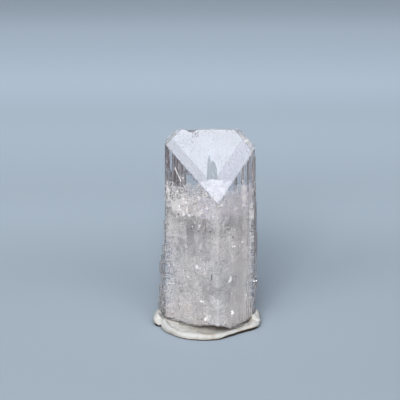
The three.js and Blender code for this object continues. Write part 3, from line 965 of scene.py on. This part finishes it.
# Kinds of fleck: in the sparkling groups, in blocky patches, thin lines, the slanting streak, in small
# rectangles, and in the lilac strips. FLECK_LENGTHS are their greatest lengths.
GROUP, PATCH, LINE, STREAKED, BOXED, LILAC = range(6)
FLECK_LENGTHS = (0.36, 0.34, 1.3, 0.36, 0.24, 0.3)
FLECK_BOXES = 110


def fleck_rows(face, across, height, kind):
    return np.stack(np.broadcast_arrays(face, across, height, kind), 1).astype(float)


def fleck_places(amount, rng):
    """Where the flecks lie: face number, distance across it, height, and kind."""
    spots = np.array(SPARKLE_PLACES)
    spots[:, 1] = from_front(spots[:, 0].astype(int), spots[:, 1])
    weight = spots[:, 3] ** 2
    spots = spots[rng.choice(len(spots), size=amount, p=weight / weight.sum())]
    places = spots[:, 1:3] + rng.normal(0, 0.62, (amount, 2)) * spots[:, 3:]
    cells = np.c_[places * [1.0, 0.8], 9.0 * spots[:, 0]]
    least = np.where(spots[:, 0] == RIGHT_FRONT, -0.35, 0.15)
    broken = blocks(cells, 0.62, 93) + 0.8 * blocks(cells, 0.27, 94) > least
    groups = fleck_rows(spots[:, 0], *places.T, GROUP)[broken]

    many = 8 * amount
    face = rng.choice(5, size=many, p=(0.38, 0.07, 0.07, 0.08, 0.40))
    across, height = WIDTHS[face] * rng.random(many), 1.5 + 31.0 * rng.random(many) ** 0.8
    cells = np.stack([across + 30.0 * face, height * 0.8, np.zeros(many)], 1)
    cracked = smooth_step(25.0, 26.5, height) - 0.4 * smooth_step(31.0, 33.0, height)
    least = 1.1 - (1.0 + 0.5 * (face == RIGHT_FRONT)) * cracked - 0.5 * smooth_step(6.0, 3.5, height)
    least += 1.5 * smooth_step(31.0, 32.2, height)
    patchy = blocks(cells, 1.1, 91) + noise(cells, 3.0, 92) > least
    patches = fleck_rows(face, across, height, PATCH)[patchy][: amount // 2]
    lines = fleck_rows(face, across, height, LINE)[height < 29.5][::-1][: amount // 6]

    face = rng.choice((RIGHT_FRONT, LEFT_FRONT), size=FLECK_BOXES)
    corner = np.c_[rng.random(FLECK_BOXES) * WIDTHS[face], 2.0 + 24.0 * rng.random(FLECK_BOXES)]
    spread = np.c_[0.4 + 1.0 * rng.random(FLECK_BOXES), 0.35 + 1.1 * rng.random(FLECK_BOXES)]
    pick = rng.integers(FLECK_BOXES, size=amount // 3)
    inside = corner[pick] + rng.random((len(pick), 2)) * spread[pick]
    boxed = fleck_rows(face[pick], *inside.T, BOXED)

    share = rng.random(amount // 60)
    streak = between(*STREAK, share[:, None]) + rng.normal(0, 0.07, (len(share), 2))
    streak = fleck_rows(LEFT_FRONT, from_front(LEFT_FRONT, streak[:, 0]), streak[:, 1], STREAKED)
    strips = []
    for face, first, last, low, high, flecks in LILAC_STRIPS:
        across = between(first, last, rng.random(flecks))
        height = between(low, high, rng.random(flecks))
        strips.append(fleck_rows(face, across, height, LILAC))
    return np.concatenate([groups, patches, lines, streak, boxed, *strips])


def face_flecks(amount, rng):
    """White flecks just under the upright faces. Those under the front faces lean forwards. Returns their
    places, turns, lengths, narrowness, and finish: 0 white, 1 lilac, 2 mirror-like."""
    face, across, height, kind = fleck_places(amount, rng).T
    face, kind = face.astype(int), kind.astype(int)
    found = len(kind)
    xy = in_plan(face, across, 0.09 + 0.08 * rng.random(found))
    points = at_height(xy, height)
    lean = np.where(np.isin(face, (RIGHT_FRONT, LEFT_FRONT))[:, None], (0.0, -0.45, 0.2), (0.0, 0.0, 0.2))
    off_edge = (face == RIGHT_FRONT) | ((face == LEFT_FRONT) & (across > 1.2))
    mirror = (kind <= PATCH) & (rng.random(found) < 0.45) & off_edge
    unsteady = np.where(mirror, 0.17, 0.13)[:, None]
    normal = unit(flat(0.6 * OUT[face]) + lean + unsteady * rng.normal(0, 1, (found, 3)))
    side = unit(np.cross((0.0, 0.0, 1.0), normal))
    rise = np.cross(normal, side)
    upright = (rng.random(found) < 0.5)[:, None]
    turns = np.stack([np.where(upright, rise, side), np.where(upright, -side, rise), normal], 2)
    narrow = np.where(kind == LINE, 0.10, np.where(rng.random(found) < 0.4, 0.3, 0.9))
    size = np.choose(kind, FLECK_LENGTHS) * (0.4 + 0.6 * rng.random(found) ** 2)
    from_edge = np.hypot(xy[:, 0] - FRONT_X, xy[:, 1] - FRONT_Y)
    keep = well_inside(points, 0.08, 0.3 + 0.5 * size) & (from_edge > 0.7)
    finish = np.where(kind == LILAC, 1, np.where(mirror, 2, 0))
    return points[keep], turns[keep], size[keep], narrow[keep], finish[keep]


# ---------------------------------------------------------------- the putty pad

PAD_OUTLINE = (
    (0.2, -11.05), (2.6, -10.58), (4.74, -9.1), (7.86, -6.7), (10.15, -5.2), (11.3, -3.2), (11.42, -0.8),
    (11.0, 1.8), (9.57, 5.4), (6.3, 8.97), (1.6, 10.97), (-3.2, 10.47), (-7.4, 8.1), (-10.2, 4.4),
    (-11.2, 1.2), (-11.5, -1.4), (-11.2, -2.8), (-10.35, -3.45), (-9.7, -3.6), (-9.65, -4.7), (-9.05, -6.0),
    (-8.16, -7.3), (-5.66, -9.7), (-2.8, -10.85),
)
# The pad's section: share of the way out from the middle, and share of the rim's height.
PAD_SECTION = (
    (0.0, 0.0), (0.5, 0.0), (0.93, 0.0), (0.945, 0.02), (0.92, 0.07), (0.945, 0.14), (0.998, 0.22),
    (0.999, 0.58), (0.978, 0.86), (0.948, 0.985), (0.92, 1.0), (0.89, 0.90), (0.85, 0.60), (0.79, 0.40),
    (0.66, 0.36), (0.5, 0.36), (0.25, 0.36), (0.0, 0.36),
)
# Lumps pressed up at the rim: place, spread along, spread in, rise.
PAD_LUMPS = (
    (-10.3, -1.7, 1.1, 0.9, 1.05),
    (-9.2, -3.6, 0.5, 0.6, 0.35),
    (-9.3, 1.9, 1.5, 1.2, 0.20),
    (10.3, -0.6, 1.0, 0.9, 0.85),
    (9.4, -2.7, 1.0, 0.8, 0.90),
    (9.3, 1.4, 1.5, 1.2, 0.35),
    (9.6, -4.4, 0.9, 0.7, 0.30),
    (-1.6, 10.2, 2.4, 1.2, 0.70),
)
# Creases: from, to, width, depth.
PAD_CREASES = (
    ((-12.0, -4.1), (-8.8, -3.0), 0.26, 1.20),
    ((-3.6, -11.5), (-4.6, -8.4), 0.35, 0.10),
    ((3.4, -11.3), (3.0, -8.8), 0.30, 0.10),
    ((12.0, -3.1), (8.7, -2.4), 0.28, 0.80),
    ((11.8, -1.1), (9.0, -0.7), 0.22, 0.50),
    ((-11.9, 0.6), (-8.8, 1.0), 0.30, 0.40),
)


def smooth_curve(corners, amount, closed):
    """A Catmull-Rom curve through the corners, at even steps of the corner number."""
    corners = np.array(corners, float)
    last = len(corners) - 1
    if closed:
        at = np.linspace(0, last + 1, amount, endpoint=False)
        low = np.floor(at).astype(int)
        p0, p1, p2, p3 = (corners[(low + k) % (last + 1)] for k in (-1, 0, 1, 2))
    else:
        at = np.linspace(0, last, amount)
        low = np.minimum(np.floor(at).astype(int), last - 1)
        p0, p1, p2, p3 = (corners[np.clip(low + k, 0, last)] for k in (-1, 0, 1, 2))
    t = (at - low)[:, None]
    curved = (p2 - p0) * t + (2 * p0 - 5 * p1 + 4 * p2 - p3) * t**2 + (3 * p1 - p0 - 3 * p2 + p3) * t**3
    return 0.5 * (2 * p1 + curved)


def crystal_side(xy):
    """Distance inside the upright faces at the level of the pad, and the nearest place on those faces."""
    edges = PRISM_EDGES * (1 + TAPER)
    inward = np.stack([(edge - xy) @ direction for edge, direction in zip(edges, OUT)])
    side = inward.min(0)
    return side, xy + OUT[inward.argmin(0)] * side[..., None]


def pad_bumps(x, y):
    """Height of the lumps, as bells, less the depth of the creases, as bells across a line."""
    rise = 0.0
    for at_x, at_y, along, inward, high in PAD_LUMPS:
        away = np.hypot(at_x, at_y)
        ux, uy = at_x / away, at_y / away
        radial = (x - at_x) * ux + (y - at_y) * uy
        tangent = (y - at_y) * ux - (x - at_x) * uy
        rise = rise + high * np.exp(-0.5 * ((radial / inward) ** 2 + (tangent / along) ** 2))
    xy = np.stack([x, y], -1)
    for start, end, width, depth in PAD_CREASES:
        start, span = np.array(start), np.array(end) - np.array(start)
        at = np.clip(((xy - start) @ span) / (span @ span), 0, 1)
        gap = np.linalg.norm(xy - start - at[..., None] * span, axis=-1)
        rise = rise - depth * np.exp(-0.5 * (gap / width) ** 2)
    return rise


def putty_surface(settings):
    """The pressed pad: the outline by the section, pole to pole. Its top is lower at the right of the front,
    raised by bell-shaped lumps, creased, dented by noise, crumbly at the right, torn at the left of the
    front, pressed up a little against the crystal, and stays under the foot. Its lip is lifted at the right
    and under the left lump. Returns points, faces, and how much painted shade each point gets: painted shade
    down the trough and on the lip's lower side, painted shadow along the underside and the seam at the
    crystal, and deep painted shade in the gap under the foot, by depth over the height of the gap."""
    around, rows = 420, 90
    outline = smooth_curve(PAD_OUTLINE, around, closed=True)
    section = smooth_curve(PAD_SECTION, rows + 2, closed=False)[1:-1]
    share, high = np.clip(section[:, 0], 0, 1), np.clip(section[:, 1], 0, None)
    order = np.arange(rows)
    inner = (order > np.argmax(high))[:, None]
    below = (order < np.argmax(share))[:, None]
    share, high = share[:, None], high[:, None]
    xy = outline[None] * share[..., None]
    place = np.concatenate([xy, np.broadcast_to(2.5 * high[..., None], (rows, around, 1))], -1)
    broken = 0.012 + 0.06 * smooth_step(5.5, 8.0, xy[..., 0]) * smooth_step(-3.8, -2.8, xy[..., 1])
    xy = xy * (1 - broken * (0.5 * np.abs(noise(place, 1.1, 60)) + np.abs(noise(place, 0.55, 61))))[..., None]
    x, y = xy[..., 0], xy[..., 1]
    plan = flat(xy)
    top = np.where(inner, 1.0, smooth_step(0.0, 0.85, high)) * np.ones(around)
    lower = 1 - 0.33 * smooth_step(-5.0, 9.0, x) * smooth_step(2.0, -3.0, y)
    lifted = 0.55 * smooth_step(0.0, 7.0, x) * smooth_step(4.0, 0.0, y) + 0.3 * (x < -9.6)
    lifted = lifted * smooth_step(0.05, 0.12, high) * ~inner
    level = high + (1 - high) * lifted
    z = settings.rim * level * lower * (1 + 0.10 * noise(plan, 4.2, 51)) + top * pad_bumps(x, y)
    z = z + top * (0.09 * noise(plan, 1.9, 52) + 0.05 * noise(plan, 0.8, 53) + 0.04 * noise(plan, 0.38, 54))
    crumbly = smooth_step(5.5, 8.0, x) * smooth_step(-3.6, -2.6, y)
    z = z + top * crumbly * (0.36 * noise(plan, 0.9, 55) + 0.40 * np.abs(noise(plan, 0.5, 56)) - 0.1)
    torn = smooth_step(0.0, -3.0, x) * smooth_step(-1.0, -3.0, y) * inner
    z = z + torn * (0.20 * noise(plan, 0.8, 58) - 0.26 * np.abs(noise(plan, 0.5, 59)))
    side, face_place = crystal_side(xy)
    z = z + 0.3 * smooth_step(-4.0, -1.0, y) * top * bell((side + 0.15) / 0.45)
    ceiling = foot_height(xy) + 0.12
    under = smooth_step(-0.1, 0.35, side)
    z = np.where(inner, z * (1 - under) + np.minimum(z, ceiling) * under, z)
    z = np.clip(z, 0, None)
    gap = np.maximum(foot_height(face_place) - z, 0.15)
    # Painted shade from here on: darker down the trough, in the gap under the foot by its depth over its
    # height,
    # along the seam at the crystal, on the lip's lower side, and on the underside as a painted contact
    # shadow.
    slope = 0.22 * smooth_step(0.93, 0.86, share) * inner * (1 - 0.6 * smooth_step(-2.0, -6.0, x))
    hollow = 0.7 * smooth_step(1.3, 2.8, side / gap) * inner
    seam = 0.8 * bell((side + 0.05) / 0.14) * inner * smooth_step(2.0, -2.0, y)
    lip = 0.35 * smooth_step(0.65, 0.2, high) * ~inner
    underside = 1.0 * below * (high < 0.3)
    shade_paint = np.max(np.broadcast_arrays(slope, hollow, seam, lip, underside), 0)
    points = np.concatenate([xy, z[..., None]], -1).reshape(-1, 3)
    points = np.concatenate([points, [[0, 0, 0], [0, 0, points[-around:, 2].mean()]]])
    low = fan_faces(np.arange(around), rows * around, flip=True)
    last = fan_faces(np.arange((rows - 1) * around, rows * around), rows * around + 1)
    return points, [ring_faces(rows, around), low, last], np.append(shade_paint.ravel(), [1, 1])


def putty_material(settings):
    """Matt mounting putty: soft fine grain, faint handling marks by coarse noise, and painted shade by the
    points' own values, first in the colour of the marks and then in the dark colour of the painted shadow."""
    putty = new_material(
        "mounting_putty",
        Roughness=0.62,
        Specular_IOR_Level=0.35,
        Subsurface_Weight=0.08,
        Subsurface_Scale=0.0006,
    )
    tree = putty.node_tree
    dirt_and_shade, deep = settings.dirt_and_shade[:], settings.deep[:]
    grain = add_grain(putty, settings.colour[:], dirt_and_shade, 330.0, 2600.0, marks=(0.52, 0.78))
    # The points' values are painted shade: mixed first towards the marks' colour, then towards the painted
    # shadow's.
    painted_shade = add_node(tree, "ShaderNodeAttribute", {}, attribute_name="painted_shade").outputs["Fac"]
    lightly_shaded = mix_colour(tree, map_range(tree, painted_shade, 0.0, 0.55, kind="LINEAR"), grain["Colour"], (*dirt_and_shade, 1))
    shaded_colour = mix_colour(tree, map_range(tree, painted_shade, 0.55, 1.0, kind="LINEAR"), lightly_shaded, (*deep, 1))
    join_to(putty, "Base Color", shaded_colour)
    add_bump(putty, grain["Height"], 0.5, 0.00016)
    return putty


# ---------------------------------------------------------------- the stage

# The stage is in metres. The pool of light painted on the floor: its middle, how it widens to the back, and
# its soft edge.
POOL_X, POOL_WIDENING, POOL_EDGE = -0.0065, 0.09, (0.0455, 0.0625)
# Painted light: brightness of the floor by the share of the way from the front to the back of the view.
FLOOR_FRONT, FLOOR_BACK = -0.05, 0.3
FLOOR_STOPS = ((0.0, 0.74), (0.2, 0.86), (0.36, 1.10), (0.55, 1.38), (0.67, 1.66), (0.8, 1.6), (0.93, 1.3))
COOL, WARM = (0.88, 0.94, 1.0), (1.0, 0.97, 0.94)
SURROUND, SURROUND_STRENGTH = (0.74, 0.80, 0.92, 1), 0.29
VIEW_TARGET = (-0.0015, 0.0, 0.027194)
VIEW_WIDTH = 0.0832


def floor_material(settings):
    """Matt pale blue paper, in metres. A pool of light is painted on it: it is painted darker far out at both
    sides, and lighter in a band behind the crystal."""
    paper = new_material("floor_paper", Roughness=0.85, Specular_IOR_Level=0.15)
    tree = paper.node_tree
    place = add_node(tree, "ShaderNodeSeparateXYZ", {0: object_place(tree)}).outputs
    aside = math_node(tree, "ABSOLUTE", math_node(tree, "SUBTRACT", place["X"], POOL_X))
    aside = math_node(tree, "MULTIPLY_ADD", place["Y"], -POOL_WIDENING, aside)
    beyond = map_range(tree, aside, *POOL_EDGE)
    back = map_range(tree, place["Y"], FLOOR_FRONT, FLOOR_BACK, kind="LINEAR")
    ramp = add_node(tree, "ShaderNodeValToRGB", {0: back})
    ramp.color_ramp.interpolation = "EASE"
    elements = ramp.color_ramp.elements
    while len(elements) < len(FLOOR_STOPS):
        elements.new(0.5)
    for element, (at, light) in zip(elements, FLOOR_STOPS):
        element.position = at
        element.color = (*(np.array(settings.floor_pale[:]) * light), 1)
    join_to(paper, "Base Color", mix_colour(tree, beyond, ramp.outputs[0], (*settings.floor_dark, 1)))
    return paper


def add_lights(scene, settings):
    """A strong softbox at the front left, weaker ones overhead and at the sides, and a pale surround."""
    boxes = (
        ("top_softbox", (0.0, -0.10, 0.42), 0.22, settings.top_power, COOL),
        ("front_softbox", (-0.07, -0.46, 0.32), 0.22, settings.front_power, WARM),
        ("right_softbox", (0.20, -0.42, 0.34), 0.45, settings.right_power, WARM),
        ("left_softbox", (-0.26, -0.36, 0.30), 0.20, settings.left_power, WARM),
    )
    for name, place, size, watts, tint in boxes:
        lamp = bpy.data.lights.new(name, "AREA")
        lamp.energy = watts
        lamp.size = size
        lamp.color = tint
        softbox = bpy.data.objects.new(name, lamp)
        scene.collection.objects.link(softbox)
        softbox.location = place
        softbox.rotation_euler = (Vector((0, 0, 0.02)) - Vector(place)).to_track_quat("-Z", "Y").to_euler()
    world = bpy.data.worlds.new("studio")
    scene.world = world
    world.use_nodes = True
    surround = world.node_tree.nodes["Background"]
    surround.inputs["Color"].default_value = SURROUND
    surround.inputs["Strength"].default_value = SURROUND_STRENGTH


def add_camera(scene, settings):
    away = Vector((0, -math.cos(settings.elevation), math.sin(settings.elevation)))
    lens = bpy.data.cameras.new("camera")
    camera = bpy.data.objects.new("camera", lens)
    scene.collection.objects.link(camera)
    camera.location = Vector(VIEW_TARGET) + away * settings.distance
    camera.rotation_euler = (-away).to_track_quat("-Z", "Y").to_euler()
    lens.sensor_width = 36.0
    lens.lens = 36.0 * settings.distance / VIEW_WIDTH
    lens.clip_start = 0.01
    scene.camera = camera


# ---------------------------------------------------------------- operators


class DANBURITE_OT_stage(bpy.types.Operator):
    """Make the floor, the soft light and the camera"""

    bl_idname = "danburite.stage"
    bl_label = "Stage"

    def execute(self, context):
        scene = context.scene
        settings = scene.danburite_stage
        size = 1200.0
        corners = np.array([[-size, -size, 0], [size, -size, 0], [size, size, 0], [-size, size, 0]])
        square = np.array([[0, 1, 2, 3]])
        floor = put_mesh("floor", corners, [square], [floor_material(settings)], body=None)
        add_lights(scene, settings)
        add_camera(scene, settings)
        scene.cycles.max_bounces = 64
        scene.cycles.transmission_bounces = 64
        scene.cycles.glossy_bounces = 32
        scene.cycles.diffuse_bounces = 48
        scene.cycles.transparent_max_bounces = 48
        scene.view_settings.view_transform = "Standard"
        return {"FINISHED"}


class DANBURITE_OT_crystal(bpy.types.Operator):
    """Make the crystal's outside"""

    bl_idname = "danburite.crystal"
    bl_label = "Crystal"

    def execute(self, context):
        settings = context.scene.danburite_crystal
        points, faces = crystal_shell(settings)
        cracks, quads, fans = crack_set(settings.cracks / 100, np.random.default_rng(17))
        faces += [quads + len(points), fans + len(points)]
        points = np.concatenate([points, cracks])
        crystal = put_mesh("crystal_body", points, faces, [crystal_glass(settings)])
        cutters = [dome_wedge("cut_front", True), dome_wedge("cut_back", False), side_slab_wedge()]
        for number, (at, size, turn, seed) in enumerate(CHIPS):
            cutters.append(chip_lump(f"cut_chip_{number}", at, size, math.radians(turn), seed))
        carve(crystal, cutters)
        top = max(corner[2] for corner in crystal.bound_box)
        if not 0.041 < top < 0.0425:
            raise RuntimeError("the dome could not be cut out of the crystal")
        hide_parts("crystal")
        return {"FINISHED"}


class DANBURITE_OT_milk(bpy.types.Operator):
    """Make the white flakes that cloud the crystal"""

    bl_idname = "danburite.milk"
    bl_label = "Milk"

    def execute(self, context):
        settings = context.scene.danburite_milk
        materials = [
            new_material(f"milk_{name}", Base_Color=(*getattr(settings, name), 1), Roughness=0.4)
            for name in ("rose", "white", "grey", "dim")
        ]
        for number, (near, reach) in enumerate(MILK_CLOUDS):
            rng = np.random.default_rng(31 + number)
            points = milky_points(settings.flakes, rng, near, reach)
            size = settings.flake_size * (0.5 + rng.random(len(points)))
            turns = random_turns(len(points), rng)
            kind = np.digitize(milk_tone(points) + rng.normal(0, 0.15, len(points)), (-0.5, 0.4, 0.9))
            put_slivers(f"milk_cloud_{number + 1}", points, size, turns, materials, kind)
        return {"FINISHED"}


class DANBURITE_OT_veils(bpy.types.Operator):
    """Make the healed cracks, the sheet under the dome, and the flecks and bright facets under the faces"""

    bl_idname = "danburite.veils"
    bl_label = "Veils and Glints"

    def execute(self, context):
        settings = context.scene.danburite_milk
        rng = np.random.default_rng(61)
        points, turns = veil_points(settings.veils, rng)
        size = 0.10 + 0.16 * rng.random(len(points)) ** 2
        white = new_material("veil_white", Base_Color=(0.98, 0.98, 0.985, 1), Roughness=0.45)
        put_slivers("milk_veils", points, size, turns, [white])

        rng = np.random.default_rng(62)
        points, turns, tint = dome_veil(DOME_TRIES, rng)
        size = 0.08 + 0.06 * rng.random(len(points))
        hazes = [new_material(name, Base_Color=(*haze, 1), Roughness=0.4) for name, haze in DOME_HAZES]
        put_slivers("dome_veil", points, size, turns, hazes, tint)

        rng = np.random.default_rng(263)
        points, turns, size, narrow, finish = face_flecks(settings.flecks, rng)
        snow = new_material(
            "fleck_white", Base_Color=(0.99, 0.985, 0.98, 1), Roughness=0.28, Specular_IOR_Level=1.0
        )
        lilac = new_material("fleck_lilac", Base_Color=(0.80, 0.80, 0.92, 1), Roughness=0.3)
        mirror = new_material("fleck_mirror", Base_Color=(0.85, 0.85, 0.86, 1), Roughness=0.3, Metallic=1.0)
        put_slivers("face_flecks", points, size, turns, [snow, lilac, mirror], finish, narrow)

        rng = np.random.default_rng(64)
        points = glint_points(settings.glints, rng)
        size = 0.12 + 0.36 * rng.random(len(points)) ** 2
        turns = leaning_turns(len(points), 0.75, 0.3, rng)
        bright = new_material(
            "crack_facet", Base_Color=(0.98, 0.98, 0.99, 1), Roughness=0.1, Specular_IOR_Level=1.0
        )
        put_slivers("fracture_glints", points, size, turns, [bright])
        return {"FINISHED"}


class DANBURITE_OT_specks(bpy.types.Operator):
    """Make the few dark mineral grains under the front faces"""

    bl_idname = "danburite.specks"
    bl_label = "Specks"

    def execute(self, context):
        round_points, quads, tips = ball(5, 8)
        points = []
        for number, (face, across, height, size) in enumerate(SPECK_PLACES):
            rough = 1 + 0.3 * noise(round_points * 1.7 + 9.0 * number, 0.9, 71)
            xy = in_plan(face, from_front(face, across), 0.12 + max(size[:2]))
            points.append(round_points * rough[:, None] * np.array(size) + at_height(xy, height))
        shift = np.arange(len(points))[:, None, None] * len(round_points)
        dark = new_material("dark_mineral", Roughness=0.45)
        grain = add_grain(dark, (0.012, 0.011, 0.012), (0.05, 0.04, 0.035), 3000.0, 9000.0)
        join_to(dark, "Base Color", grain["Colour"])
        faces = [(quads[None] + shift).reshape(-1, 4), (tips[None] + shift).reshape(-1, 3)]
        specks = put_mesh("dark_specks", np.concatenate(points), faces, [dark])
        return {"FINISHED"}


class DANBURITE_OT_putty(bpy.types.Operator):
    """Make the pad of mounting putty"""

    bl_idname = "danburite.putty"
    bl_label = "Putty"

    def execute(self, context):
        settings = context.scene.danburite_putty
        points, faces, painted_shade = putty_surface(settings)
        putty = put_mesh("putty_pad", points, faces, [putty_material(settings)], smooth=True)
        # The attribute holds the painted shade of each point.
        putty.data.attributes.new("painted_shade", "FLOAT", "POINT").data.foreach_set("value", painted_shade)
        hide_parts("putty")
        return {"FINISHED"}


class DANBURITE_PT_panel(bpy.types.Panel):
    """The crystal's pieces and their settings"""

    bl_idname = "DANBURITE_PT_panel"
    bl_label = "Danburite Crystal"
    bl_space_type = "VIEW_3D"
    bl_region_type = "UI"
    bl_category = "Danburite"

    def draw(self, context):
        for name, kind in SETTINGS:
            box = self.layout.box()
            for key in kind.__annotations__:
                box.prop(getattr(context.scene, name), key)
        for operator in OPERATORS:
            self.layout.operator(operator.bl_idname)


OPERATORS = (
    DANBURITE_OT_stage,
    DANBURITE_OT_crystal,
    DANBURITE_OT_milk,
    DANBURITE_OT_veils,
    DANBURITE_OT_specks,
    DANBURITE_OT_putty,
)


def register():
    for _, kind in SETTINGS:
        bpy.utils.register_class(kind)
    for kind in (*OPERATORS, DANBURITE_PT_panel):
        bpy.utils.register_class(kind)
    for name, kind in SETTINGS:
        setattr(bpy.types.Scene, name, PointerProperty(type=kind))


def unregister():
    for name, _ in SETTINGS:
        delattr(bpy.types.Scene, name)
    for kind in (DANBURITE_PT_panel, *reversed(OPERATORS)):
        bpy.utils.unregister_class(kind)
    for _, kind in reversed(SETTINGS):
        bpy.utils.unregister_class(kind)


def main():
    register()
    bpy.ops.danburite.stage()
    bpy.ops.danburite.crystal()
    bpy.ops.danburite.milk()
    bpy.ops.danburite.veils()
    bpy.ops.danburite.specks()
    bpy.ops.danburite.putty()


if __name__ == "__main__":
    main()
